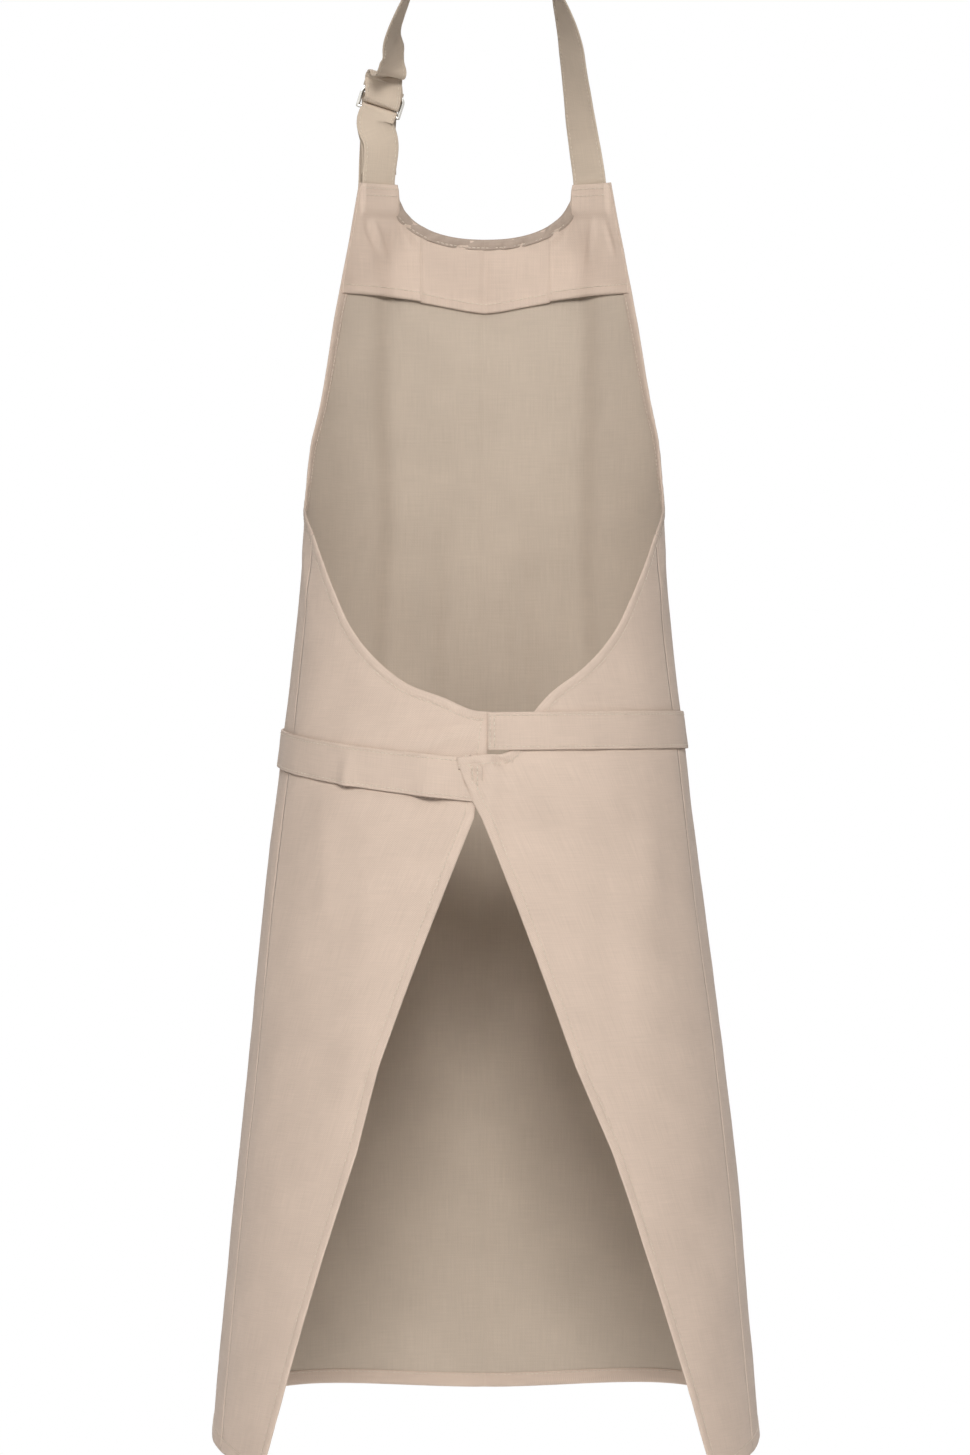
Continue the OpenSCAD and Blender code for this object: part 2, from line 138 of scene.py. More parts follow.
ARMHOLE = [(45, BIB_H), (49, 850), (54.6, 800), (61.5, 750), (74, 700), (79, 680), (86, 661),
           (98, 649), (107.5, 636), (114.3, 622), (125.5, 594), (136, 565), (150, 537),
           (156, 528), (168, 517), (177, 508), (182, 507)]


def neckline(angle):
    """Height of the scooped neckline between the shoulders."""
    t = np.abs(half_w(BIB_H) * np.sin(np.radians(angle))) / NECK_HALF_W
    scoop = 1 - np.clip(t, 0, 1) ** NECK_POWER
    return BIB_H - NECK_DIP * scoop ** (1 / NECK_POWER)


def top_edge(angle):
    """Height of the cloth's upper edge: neckline, shoulders and armholes."""
    around = np.abs(angle)
    return np.where(around < SHOULDER_ANGLE, neckline(around), curve(around, ARMHOLE))


def bottom_edge(angle):
    """Height of the hem, which drops towards the corners of the back."""
    around = np.abs(angle)
    lifted = 9 * smooth(around / 50) * smooth((100 - around) / 45)
    return lifted - CORNER_DROP * (around / 126) ** 3.5


def flap_edge(h, side):
    """Angle of a back flap's free edge at a height."""
    down = APEX_H - h
    opening = 0.41 * down - 0.00015 * down * down
    shift = 5 * np.clip((h - 199) / 60, 0, 1)
    return 180 - np.degrees(np.arcsin((opening - side * shift) / half_w(h)))


# ---------------------------------------------------------------- relief of the worn cloth
def lattice_noise(x, y, cell_x, cell_y, seed):
    """Smooth noise from -1 to 1 with the given cell size."""
    values = np.random.default_rng(seed).uniform(-1, 1, (64, 64))
    gx, gy = np.asarray(x) / cell_x, np.asarray(y) / cell_y
    ix, iy = np.floor(gx).astype(int), np.floor(gy).astype(int)
    fx, fy = smooth(gx - ix), smooth(gy - iy)
    low = mix(values[ix % 64, iy % 64], values[(ix + 1) % 64, iy % 64], fx)
    high = mix(values[ix % 64, (iy + 1) % 64], values[(ix + 1) % 64, (iy + 1) % 64], fx)
    return mix(low, high, fy)


PER_DEGREE = 2.3               # millimetres round the cloth for one degree, near enough for folds

# Pulled folds: from (height, angle) to (height, angle), half width, how far they stand out
FOLDS = [
    ((500, -178), (486, -150), 3.5, -1.8), ((494, -176), (476, -152), 3.5, 1.6),
    ((486, -178), (472, -160), 3, -1.5), ((444, -174), (395, -163), 6, 1.8),
    ((505, -160), (480, -140), 8, 2.0), ((470, 176), (400, 160), 7, 2.4),
    ((474, 184), (452, 177), 2.5, -1.8), ((462, 186), (446, 180), 2.2, 1.2),
    ((440, 176), (360, 160), 7, 1.8), ((478, 178), (462, 171), 2.5, -2.2),
    ((500, 166), (478, 140), 7, 1.5), ((520, 150), (500, 122), 8, -1.6),
    ((450, -130), (330, -138), 12, 1.5), ((455, 128), (300, 137), 12, 1.3),
    ((430, 150), (180, 143), 14, -1.6), ((420, -150), (170, -146), 14, 1.7),
    ((470, -100), (250, -112), 14, 1.4), ((470, 96), (260, 108), 14, -1.4),
    ((878, 31), (846, 21), 3.2, 1.8), ((878, -31), (846, -22), 3.2, 1.8),
    ((874, 38), (832, 33), 3.2, -1.9), ((872, -40), (836, -30), 3.2, -1.9),
    ((872, 42), (840, 46), 2.6, 1.5), ((870, -43), (846, -36), 2.6, 1.5),
    ((824, 49), (820, 36), 2.4, 0.9), ((826, -50), (821, -38), 2.4, 0.9),
    ((640, -92), (560, -118), 9, 1.3), ((640, 92), (565, 116), 9, 1.2),
    ((250, -20), (40, -34), 16, 1.8), ((240, 24), (30, 38), 16, 1.6), ((180, 4), (10, 8), 14, -1.0),
]


def fold(h, s, start, end, width, out):
    """A soft ridge between two points of the cloth that fades at its ends."""
    y0, x0 = start[0], start[1] * PER_DEGREE
    dy, dx = end[0] - y0, end[1] * PER_DEGREE - x0
    length = math.hypot(dx, dy)
    along = ((s - x0) * dx + (h - y0) * dy) / length
    aside = ((s - x0) * dy - (h - y0) * dx) / length
    fade = smooth(along / (0.35 * length) + 0.2) * smooth((length - along) / (0.5 * length))
    return out * fade * bump(aside, 0, width)


def relief(h, angle):
    """How far the cloth stands out from the wearer's smooth shape."""
    s = angle * PER_DEGREE
    skirt = smooth((WAIST_H - h) / 250)
    bib = smooth((h - WAIST_H + 40) / 80)
    out = 1.6 * lattice_noise(s, h, 70, 190, 1)
    out = out + 0.6 * lattice_noise(s + 0.3 * h, h, 30, 80, 2)
    out = out + 0.16 * lattice_noise(s - 0.4 * h, h, 11, 22, 4)
    out = out + skirt * 3.2 * lattice_noise(s, h, 95, 420, 3)
    front = smooth((70 - np.abs(angle)) / 30)
    low_bib = smooth((680 - h) / 120) * smooth((h - 450) / 60)
    out = out + bib * front * 5.5 * (bump(angle, -30, 6) + bump(angle, 30, 6))
    out = out + front * low_bib * 3.2 * (bump(angle, -11, 4) + bump(angle, 11, 4))
    out = out + front * 1.3 * bump(angle, 0, 1.3)      # the press crease down the middle
    out = out * (1 - 0.9 * front * smooth((h - 845) / 28))
    for each in FOLDS:
        out = out + fold(h, s, *each)
    return out


def skin(h, angle, offset):
    """Points on the worn cloth's surface, moved out by the offset."""
    h, angle, offset = np.broadcast_arrays(*(np.asarray(v, float) for v in (h, angle, offset)))
    turn = np.radians(angle)
    out = offset + relief(h, angle)
    return np.stack([(half_w(h) + out) * np.sin(turn), (half_d(h) + out) * np.cos(turn),
                     h - NAPE_H], axis=-1)


def cloth_uv(h, angle):
    """Millimetres along the weft and the warp."""
    return np.stack([np.radians(angle) * (half_w(h) + half_d(h)) / 2, h], axis=-1)


# ---------------------------------------------------------------- meshes
UV_NAME = "cloth"


def add_mesh(name, verts, faces, uv, material):
    """A smooth mesh object from points in millimetres."""
    mesh = bpy.data.meshes.new(name)
    mesh.from_pydata((np.asarray(verts) * MM).tolist(), [], faces)
    mesh.polygons.foreach_set("use_smooth", [True] * len(mesh.polygons))
    if uv is not None:
        layer = mesh.uv_layers.new(name=UV_NAME)
        index = np.empty(len(mesh.loops), int)
        mesh.loops.foreach_get("vertex_index", index)
        layer.data.foreach_set("uv", np.asarray(uv, np.float32)[index].ravel())
    mesh.materials.append(material)
    mesh.validate()
    obj = bpy.data.objects.new(name, mesh)
    bpy.context.scene.collection.objects.link(obj)
    return obj


def grid_faces(rows, cols, start, flip):
    """The quads of a grid of points whose first index is start."""
    a = (np.arange(rows - 1)[:, None] * cols + np.arange(cols - 1)[None, :]).ravel() + start
    quads = np.stack([a, a + 1, a + cols + 1, a + cols], axis=1)
    return (quads[:, ::-1] if flip else quads).tolist()


def shell(name, h, angle, inner, outer, side, material, painted_shade_inside=None):
    """A sheet of cloth with both its faces, from grids of height and angle."""
    rows, cols = h.shape
    n = rows * cols
    flip = side == LEFT
    verts = np.concatenate([skin(h, side * angle, outer).reshape(-1, 3),
                            skin(h, side * angle, inner).reshape(-1, 3)])
    uv = cloth_uv(h, side * angle).reshape(-1, 2)
    faces = grid_faces(rows, cols, 0, not flip) + grid_faces(rows, cols, n, flip)
    index = np.arange(n).reshape(rows, cols)
    rim = np.concatenate([index[0, :-1], index[:-1, -1], index[-1, :0:-1], index[:0:-1, 0]])
    for a, b in zip(rim, np.roll(rim, -1)):
        quad = [a, b, b + n, a + n]
        faces.append([int(v) for v in (quad[::-1] if flip else quad)])
    obj = add_mesh(name, verts, faces, np.concatenate([uv, uv]), material)
    # The faces on the inner side take the second material, a darker copy of the cloth painted as shade.
    if painted_shade_inside:
        obj.data.materials.append(painted_shade_inside)
        quads = (rows - 1) * (cols - 1)
        which = np.zeros(len(faces), int)
        which[quads:2 * quads] = 1
        obj.data.polygons.foreach_set("material_index", which)
    return obj


def sweep(name, rings, material, uv):
    """A tube with closed ends through rings of points, an array of (stations, corners, 3)."""
    stations, corners = rings.shape[:2]
    faces = []
    k = np.arange(corners)
    k2 = (k + 1) % corners
    for i in range(stations - 1):
        a, b = i * corners, (i + 1) * corners
        faces += np.stack([a + k, a + k2, b + k2, b + k], axis=1).tolist()
    faces.append(list(range(corners))[::-1])
    faces.append([(stations - 1) * corners + i for i in range(corners)])
    return add_mesh(name, rings.reshape(-1, 3), faces, uv.reshape(-1, 2), material)


def unit(v):
    """Each vector scaled to length 1."""
    return v / np.maximum(np.linalg.norm(v, axis=-1, keepdims=True), 1e-9)


STITCH_RINGS = [(-1, 0.05), (-0.8, 0.75), (0, 1), (0.8, 0.75), (1, 0.05)]
STITCH_SIDES = 6


def stitches(name, points, normals, material, length=2.6, pitch=3.4, thick=0.32, sink=0.12):
    """A row of thread stitches along a path of points that lie on a surface."""
    steps = np.linalg.norm(np.diff(points, axis=0), axis=1)
    along = np.concatenate([[0], np.cumsum(steps)])
    at = np.arange(pitch / 2, along[-1], pitch)

    def on_path(values, s):
        return np.stack([np.interp(s, along, values[:, k]) for k in range(3)], axis=-1)

    middle = on_path(points, at)
    ahead = unit(on_path(points, at + length / 2) - on_path(points, at - length / 2))
    up = unit(on_path(normals, at))
    across = unit(np.cross(up, ahead))
    verts, faces = [], []
    per = len(STITCH_RINGS) * STITCH_SIDES
    turn = np.linspace(0, 2 * np.pi, STITCH_SIDES, endpoint=False)
    for where, size in STITCH_RINGS:
        centre = middle + ahead * where * length / 2 + up * (thick - sink) * size
        for a in turn:
            verts.append(centre + (across * np.cos(a) + up * np.sin(a) * 0.8) * thick * size)
    verts = np.stack(verts, axis=1)
    for n in range(len(at)):
        for r in range(len(STITCH_RINGS) - 1):
            for k in range(STITCH_SIDES):
                a = n * per + r * STITCH_SIDES
                k2 = (k + 1) % STITCH_SIDES
                faces.append([a + k, a + k2, a + STITCH_SIDES + k2, a + STITCH_SIDES + k])
    return add_mesh(name, verts.reshape(-1, 3), faces, None, material)


# ---------------------------------------------------------------- materials
def nodes_of(material):
    """The material's nodes, its links and its surface."""
    material.use_nodes = True
    tree = material.node_tree
    return tree.nodes, tree.links, tree.nodes["Principled BSDF"]


def between_colours(nodes, links, factor, low, high):
    """A colour that runs from low to high with the factor."""
    tint = nodes.new("ShaderNodeMix")
    tint.data_type = "RGBA"
    links.new(factor, tint.inputs[0])
    tint.inputs[6].default_value = low
    tint.inputs[7].default_value = high
    return tint.outputs[2]


DYE_VARIATION = 0.10


def fabric(name, colour, weave_mm=0.9):
    """Cotton twill: fine diagonal ribs, slubs, and a soft unevenness of its dye."""
    material = bpy.data.materials.new(name)
    nodes, links, surface = nodes_of(material)
    surface.inputs["Roughness"].default_value = 0.92
    surface.inputs["Specular IOR Level"].default_value = 0.18
    surface.inputs["Sheen Weight"].default_value = 0.12
    surface.inputs["Sheen Roughness"].default_value = 0.5

    uv = nodes.new("ShaderNodeUVMap")
    uv.uv_map = UV_NAME

    def wave(rotation, scale, distortion):
        turned = nodes.new("ShaderNodeMapping")
        turned.inputs["Rotation"].default_value = (0, 0, rotation)
        links.new(uv.outputs["UV"], turned.inputs["Vector"])
        node = nodes.new("ShaderNodeTexWave")
        node.wave_type = "BANDS"
        node.bands_direction = "X"
        node.inputs["Scale"].default_value = scale
        node.inputs["Distortion"].default_value = distortion
        node.inputs["Detail"].default_value = 1.5
        node.inputs["Detail Scale"].default_value = 1.2
        links.new(turned.outputs["Vector"], node.inputs["Vector"])
        return node.outputs["Fac"]

    def noise(scale, detail, stretch=(1, 1, 1)):
        moved = nodes.new("ShaderNodeMapping")
        moved.inputs["Scale"].default_value = stretch
        links.new(uv.outputs["UV"], moved.inputs["Vector"])
        node = nodes.new("ShaderNodeTexNoise")
        node.inputs["Scale"].default_value = scale
        node.inputs["Detail"].default_value = detail
        links.new(moved.outputs["Vector"], node.inputs["Vector"])
        return node.outputs["Fac"]

    def mixed(kind, factor, a, b):
        node = nodes.new("ShaderNodeMix")
        node.data_type = "RGBA"
        node.blend_type = kind
        for socket, value in ((node.inputs[0], factor), (node.inputs[6], a), (node.inputs[7], b)):
            if hasattr(value, "is_linked"):
                links.new(value, socket)
            else:
                socket.default_value = value
        return node.outputs[2]

    wave_scale = 0.314 / weave_mm          # a band texture repeats every 2 pi / 20 at scale 1
    twill = wave(math.radians(58), wave_scale, 0.6)
    threads = wave(0, wave_scale * 1.9, 0.8)
    slub_across = noise(1.0, 2, (0.05, 1.3, 1))
    slub_up = noise(1.0, 2, (1.3, 0.04, 1))
    cloudy = noise(0.02, 3)

    light = [min(1, c * (1 + DYE_VARIATION)) for c in colour] + [1]
    dark = [c * (1 - DYE_VARIATION) for c in colour] + [1]
    base = mixed("MIX", cloudy, dark, light)
    for share, pattern, low, high in (
            (0.55, twill, [0.86, 0.855, 0.85, 1], [1.05, 1.05, 1.05, 1]),
            (0.5, slub_up, [0.82, 0.81, 0.80, 1], [1.15, 1.15, 1.15, 1]),
            (0.5, slub_across, [0.84, 0.83, 0.82, 1], [1.13, 1.13, 1.13, 1])):
        base = mixed("MULTIPLY", share, base, mixed("MIX", pattern, low, high))
    links.new(base, surface.inputs["Base Color"])

    height = twill
    for pattern, share in ((threads, 0.4), (slub_across, 0.7)):
        total = nodes.new("ShaderNodeMath")
        total.operation = "MULTIPLY_ADD"
        links.new(pattern, total.inputs[0])
        total.inputs[1].default_value = share
        links.new(height, total.inputs[2])
        height = total.outputs[0]
    relief_node = nodes.new("ShaderNodeBump")
    relief_node.inputs["Strength"].default_value = 0.35
    relief_node.inputs["Distance"].default_value = 0.00012
    links.new(height, relief_node.inputs["Height"])
    links.new(relief_node.outputs["Normal"], surface.inputs["Normal"])
    return material


def nickel():
    """Bright nickel wire with faint handling marks."""
    material = bpy.data.materials.new("nickel")
    nodes, links, surface = nodes_of(material)
    surface.inputs["Metallic"].default_value = 1
    spot = nodes.new("ShaderNodeTexCoord")
    marks = nodes.new("ShaderNodeTexNoise")
    marks.inputs["Scale"].default_value = 900
    marks.inputs["Detail"].default_value = 3
    links.new(spot.outputs["Object"], marks.inputs["Vector"])
    tint = between_colours(nodes, links, marks.outputs["Fac"], (0.50, 0.48, 0.44, 1),
                           (0.68, 0.66, 0.62, 1))
    links.new(tint, surface.inputs["Base Color"])
    rough = nodes.new("ShaderNodeMapRange")
    rough.inputs["To Min"].default_value = 0.16
    rough.inputs["To Max"].default_value = 0.34
    links.new(marks.outputs["Fac"], rough.inputs["Value"])
    links.new(rough.outputs["Result"], surface.inputs["Roughness"])
    return material


def thread_material():
    """Sewing thread, a little paler than the cloth."""
    material = bpy.data.materials.new("thread")
    nodes, links, surface = nodes_of(material)
    surface.inputs["Roughness"].default_value = 0.75
    surface.inputs["Sheen Weight"].default_value = 0.2
    spot = nodes.new("ShaderNodeTexCoord")
    twist = nodes.new("ShaderNodeTexNoise")
    twist.inputs["Scale"].default_value = 700
    links.new(spot.outputs["Object"], twist.inputs["Vector"])
    tint = between_colours(nodes, links, twist.outputs["Fac"], (0.52, 0.43, 0.34, 1),
                           (0.74, 0.65, 0.54, 1))
    links.new(tint, surface.inputs["Base Color"])
    return material


CLOTH_COLOUR = (0.640, 0.510, 0.418)


def shade(share):
    """The cloth's colour, darkened to a share of itself."""
    return tuple(c * share for c in CLOTH_COLOUR)


TWILL = fabric("twill", CLOTH_COLOUR)
# The cloth's inner face: a darker copy of the twill, painted shade for the inside of the apron that the
# lamps reach less.
INSIDE_PAINTED_SHADE = fabric("twill_inside_painted_shade", (0.528, 0.441, 0.357))
# The bib's side hems, seen from inside: the twill darkened to 0.88 as painted shade.
BIB_HEM_PAINTED_SHADE = fabric("twill_bib_hem_painted_shade", shade(0.88))
BIAS = fabric("twill_bias", shade(0.66), weave_mm=0.8)
STRAP_TWILL = fabric("strap_twill", (0.590, 0.487, 0.385), weave_mm=0.8)
TIE_TWILL = fabric("tie_twill", shade(0.97), weave_mm=0.8)
THREAD = thread_material()
NICKEL = nickel()


def fixed(piece, body, slot, *nodes):
    """A piece that moves with one body and stands in for the nodes."""
    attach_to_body(piece, body)
    if nodes:
        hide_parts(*nodes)


def with_flap(piece, side_name, slot, *nodes):
    """A piece with its transform baked into its points, standing in for the nodes."""
    if nodes:
        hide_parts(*nodes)
    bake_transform(piece)


# ---------------------------------------------------------------- main cloth
def columns(*spans):
    """Angles in runs of (from, to, count), without repeats."""
    return np.concatenate([np.linspace(a, b, n, endpoint=False) for a, b, n in spans])


def front_cloth():
    """Bib, skirt and sides, as far round as the folds of the flaps."""
    half = columns((0, 22, 18), (22, 31, 22), (31, 44.6, 12), (44.6, 57, 40), (57, FOLD_ANGLE, 42))
    half = np.append(half, FOLD_ANGLE)
    angle = np.concatenate([-half[:0:-1], half])[None, :]
    v = np.linspace(0, 1, 190)[:, None]
    h = mix(bottom_edge(angle), top_edge(angle), v)
    angle = np.broadcast_to(angle, h.shape)
    # Inner face in the darker twill, painted shade.
    piece = shell("cloth_front", h, angle, 0, CLOTH_T, RIGHT, TWILL, INSIDE_PAINTED_SHADE)
    fixed(piece, "apron", "twill", "bib_front", "skirt_front", "side_panel_left", "side_panel_right")


def coons(bottom, top, start, end, rows, cols):
    """A grid between four border curves, each a function of 0..1 that gives (height, angle)."""
    u = np.linspace(0, 1, cols)
    v = np.linspace(0, 1, rows)
    b, t = np.stack(bottom(u)), np.stack(top(u))
    s, e = np.stack(start(v)), np.stack(end(v))
    uu, vv = u[None, None, :], v[None, :, None]
    grid = (b[:, None, :] * (1 - vv) + t[:, None, :] * vv + s[:, :, None] * (1 - uu)
            + e[:, :, None] * uu)
    corners = ((1 - uu) * (1 - vv) * b[:, 0][:, None, None] + uu * (1 - vv) * b[:, -1][:, None, None]
               + (1 - uu) * vv * t[:, 0][:, None, None] + uu * vv * t[:, -1][:, None, None])
    grid = grid - corners
    return grid[0], grid[1]


LEFT_TIP_ANGLE, RIGHT_TIP_ANGLE = 181.8, 187.6
FLAP_PART = 0.86               # share of the inner border that is the flap's free edge


def inner_border(side):
    """From the hem corner up the flap's free edge and along the tip, as (height, angle)."""
    if side == LEFT:
        tip = [(APEX_H, 177.3), (WAIST_H - 13.5, 180.5), (WAIST_H + 13.5, LEFT_TIP_ANGLE)]
    else:
        tip = [(APEX_H + 2, 182.7), (459, 185.3), (475, RIGHT_TIP_ANGLE)]
    h_low = APEX_H - 8             # the free edge gives way to the tip here
    knots_v = [FLAP_PART, 0.90, 0.95, 1.0]
    knots_h = [h_low] + [h for h, angle in tip]
    knots_a = [float(flap_edge(h_low, side))] + [angle for h, angle in tip]

    def border(v):
        h_flap = mix(-CORNER_DROP, h_low, v / FLAP_PART)
        in_flap = v < FLAP_PART
        h = np.where(in_flap, h_flap, np.interp(v, knots_v, knots_h))
        angle = np.where(in_flap, flap_edge(np.minimum(h_flap, h_low), side),
                         np.interp(v, knots_v, knots_a))
        return h, angle
    return border


def upper_border(side):
    """Along the armhole from the fold to the tip, as (height, angle)."""
    def border(u):
        if side == LEFT:
            angle = mix(FOLD_ANGLE, LEFT_TIP_ANGLE, u)
            return top_edge(angle), angle
        angle = mix(FOLD_ANGLE, RIGHT_TIP_ANGLE, u)
        beyond = curve(angle, [(150, 537), (156, 528), (162, 517), (165.4, 508), (173, 480),
                               (180, 477), (RIGHT_TIP_ANGLE, 475)])
        return np.where(angle < 156, top_edge(angle), beyond), angle
    return border


LAP_LIFT = 3.3


def lap_rise(angle, side):
    """The right tip lies over the left panel and over its own tie."""
    return 0 * angle if side == LEFT else LAP_LIFT * smooth((angle - 174) / 5)


def back_cloth(side_name):
    """One back panel with its flap, from the fold to the free edge and the tip."""
    side = SIDES[side_name]
    corner = float(flap_edge(-CORNER_DROP, side))

    def hem(u):
        angle = mix(FOLD_ANGLE, corner, u)
        return mix(bottom_edge(FOLD_ANGLE), -CORNER_DROP, u ** 1.2), angle

    def fold(v):
        return mix(bottom_edge(FOLD_ANGLE), top_edge(FOLD_ANGLE), v), np.full_like(v, FOLD_ANGLE)

    h, angle = coons(hem, upper_border(side), fold, inner_border(side), 170, 64)
    rise = lap_rise(angle, side)
    # Inner face in the darker twill, painted shade.
    piece = shell("cloth_back_" + side_name, h, angle, rise, CLOTH_T + rise, side, TWILL, INSIDE_PAINTED_SHADE)
    with_flap(piece, side_name, "twill", "back_panel_" + side_name, "flap_" + side_name)


front_cloth()
for side_name in SIDES:
    back_cloth(side_name)

# ---------------------------------------------------------------- facing
FACING_END = 52
FACING_GAP = 0.35


def facing_low(angle):
    """Height of the facing's lower edge, which hangs lowest in the middle."""
    around = np.abs(angle)
    middle = curve(around, [(0, 804), (3, 804.6), (12, 808), (SEAM_ANGLE, 811.5)])
    sides = curve(around, [(SEAM_ANGLE, 812.5), (28, 814.5), (FACING_END, 816.5)])
    return np.where(around < SEAM_ANGLE + 0.3, middle, sides)


def facing_depth(h, angle):
    """How far the facing's outer face lies inside the main cloth."""
    around = np.abs(angle)
    above = h - facing_low(angle)
    billow = 3.2 * (1 - smooth(above / 26)) * bump(around, 30, 8)
    over_strap = (2.1 * smooth((h - 872) / 6) * smooth((around - 28.5) / 1.6)
                  * smooth((45.2 - around) / 1.6))
    under_binding = smooth((h - top_edge(angle) + 12) / 4)
    overlap = (0.9 * smooth((around - SEAM_ANGLE + 0.1) / 0.2) * smooth((24 - around) / 2.5)
               * (1 - under_binding))
    return FACING_GAP + billow + over_strap + overlap


def facing(name, first, last, side, count, *nodes):
    """One part of the bib's inner facing, with the stitches of its lower hem."""
    angle = np.linspace(first, last, count)[None, :]
    v = np.linspace(0, 1, 34)[:, None]
    low = facing_low(angle)
    h = mix(low, top_edge(angle) - 0.5, v)
    angle = np.broadcast_to(angle, h.shape)
    outer = -facing_depth(h, angle)
    turned_up = 0.55 * smooth((8 - (h - low)) / 1.2)
    piece = shell(name, h, angle, outer - CLOTH_T - turned_up, outer, side, TWILL)
    fixed(piece, "apron", "twill", *nodes)
    angle = np.linspace(first + 0.3, last - 0.6, 40)
    h = facing_low(angle) + 6.6
    depth = -facing_depth(h, angle) - CLOTH_T - 0.5
    points = skin(h, side * angle, depth)
    row = stitches(name + "_stitches", points, skin(h, side * angle, depth - 1) - points, THREAD)
    fixed(row, "apron", "thread")


facing("facing_middle", -SEAM_ANGLE - 0.25, SEAM_ANGLE + 0.25, RIGHT, 70, "facing_centre")
facing("facing_side_left", SEAM_ANGLE, FACING_END, LEFT, 60, "facing_left")
facing("facing_side_right", SEAM_ANGLE, FACING_END, RIGHT, 60, "facing_right")

# ---------------------------------------------------------------- hems
HEM_W = 7
BOTTOM_HEM_W = 10


def edge_frame(h, angle, side, flip):
    """Directions into the cloth from an edge, in height and in degrees for each millimetre."""
    per_degree = np.radians(1) * (half_w(h) + half_d(h)) / 2
    dh, ds = np.gradient(h), np.gradient(angle) * per_degree
    length = np.hypot(dh, ds)
    return -flip * ds / length, flip * dh / length / per_degree


def hem_profile(width, low, high):
    """Points (inwards from the edge, offset) round a folded hem that clasps cloth from low to high."""
    return [(width + 1.5, high - 0.25), (width - 0.3, high + 0.02), (width - 1.5, high - 0.05),
            (width - 2.4, high + 0.22), (width * 0.5, high + 0.5), (1.4, high + 0.55),
            (0.3, high + 0.38), (-0.45, high - 0.05), (-0.7, (low + high) / 2),
            (-0.45, low - 0.15), (0.3, low - 0.55), (1.4, low - 0.85), (width * 0.5, low - 0.85),
            (width - 2.4, low - 0.62), (width - 1.5, low - 0.38), (width - 0.6, low - 0.6),
            (width, low - 0.45), (width + 0.15, low + 0.2)]


def hem(name, h, angle, width, side, flip, low=0.0, high=CLOTH_T, seed=5, pucker=0.25, rise=None,
        material=None, slant=0.0):
    """A rolled hem along an edge, and its rows of stitches inside and outside."""
    into_h, into_a = edge_frame(h, angle, side, flip)
    along = np.concatenate([[0], np.cumsum(np.hypot(np.diff(h), np.diff(angle) * PER_DEGREE))])
    rings, profile = [], hem_profile(width, low, high)
    rise = rise or (lambda at: 0)
    for c, o in profile:
        puff = 1 + pucker * lattice_noise(along + slant * c, np.full_like(along, 0.3 * c), 5, 1.7, seed)
        middle = (low + high) / 2
        swell = np.where(abs(o - middle) > (high - low) / 2, puff, 1.0)
        rings.append(skin(h + c * into_h, side * (angle + c * into_a),
                          middle + (o - middle) * swell + rise(angle + c * into_a)))
    rings = np.stack(rings, axis=1)
    if side * flip == LEFT:
        rings = rings[:, ::-1]
    uv = np.stack(np.broadcast_arrays(np.array([p[0] for p in profile])[None, :], along[:, None]),
                  axis=-1)
    piece = sweep(name, rings, material or TWILL, uv)
    seam = width - 1.5
    rows = []
    for face, offset in (("out", high - 0.02), ("in", low - 0.40)):
        at = angle + seam * into_a
        points = skin(h + seam * into_h, side * at, offset + rise(at))
        beyond = skin(h + seam * into_h, side * at,
                      offset + rise(at) + (1 if face == "out" else -1))
        rows.append(stitches(f"{name}_stitches_{face}", points, beyond - points, THREAD))
    return [piece] + rows


def attach(pieces, rule, *nodes):
    """Gives a hem and its stitches the rule by which they move."""
    piece, rows = pieces[0], pieces[1:]
    rule(piece, "twill", *nodes)
    for row in rows:
        rule(row, "thread")


def on_apron(piece, slot, *nodes):
    fixed(piece, "apron", slot, *nodes)


BINDING_END = 29.4


def hems():
    """The binding, the bottom hem, and each side's bib, armhole and flap hems."""
    angle = np.linspace(-BINDING_END, BINDING_END, 260)
    low = -FACING_GAP - CLOTH_T
    attach(hem("binding", neckline(angle), angle, HEM_W, RIGHT, 1, low=low, pucker=0.6, seed=11,
               material=BIAS, slant=0.9), on_apron, "neckline_binding")
    angle = np.linspace(-FOLD_ANGLE, FOLD_ANGLE, 420)
    attach(hem("hem_bottom", bottom_edge(angle), angle, BOTTOM_HEM_W, RIGHT, -1, seed=12),
           on_apron, "bottom_hem_front", "bottom_hem_left", "bottom_hem_right")
    for side_name, side in SIDES.items():
        def rule(piece, slot, *nodes, side_name=side_name):
            with_flap(piece, side_name, slot, *nodes)

        def rise(at, side=side):
            return lap_rise(at, side)

        angle = columns((SHOULDER_ANGLE, 57, 60), (57, FOLD_ANGLE + 0.2, 90))
        # The bib's side hems take the darker twill, painted shade.
        attach(hem("hem_bib_" + side_name, top_edge(angle), angle, HEM_W, side, 1, seed=13 + side,
                   material=BIB_HEM_PAINTED_SHADE),
               on_apron, "bib_hem_" + side_name)
        h, angle = upper_border(side)(np.linspace(0, 1, 150))
        attach(hem("hem_armhole_" + side_name, h, angle, HEM_W, side, 1, seed=16 + side,
                   rise=rise), on_apron, "armhole_hem_" + side_name)
        h, angle = inner_border(side)(np.linspace(0, 1, 240))
        attach(hem("hem_flap_" + side_name, h, angle, HEM_W, side, -1, seed=19 + side,
                   rise=rise), rule, "flap_hem_" + side_name)
        corner = float(flap_edge(-CORNER_DROP, side))
        u = np.linspace(0, 1, 40)
        h = mix(bottom_edge(FOLD_ANGLE), -CORNER_DROP, u ** 1.2)
        attach(hem("hem_flap_bottom_" + side_name, h, mix(FOLD_ANGLE, corner, u), BOTTOM_HEM_W, side,
                   -1, seed=22 + side), rule, "flap_bottom_hem_" + side_name)


hems()

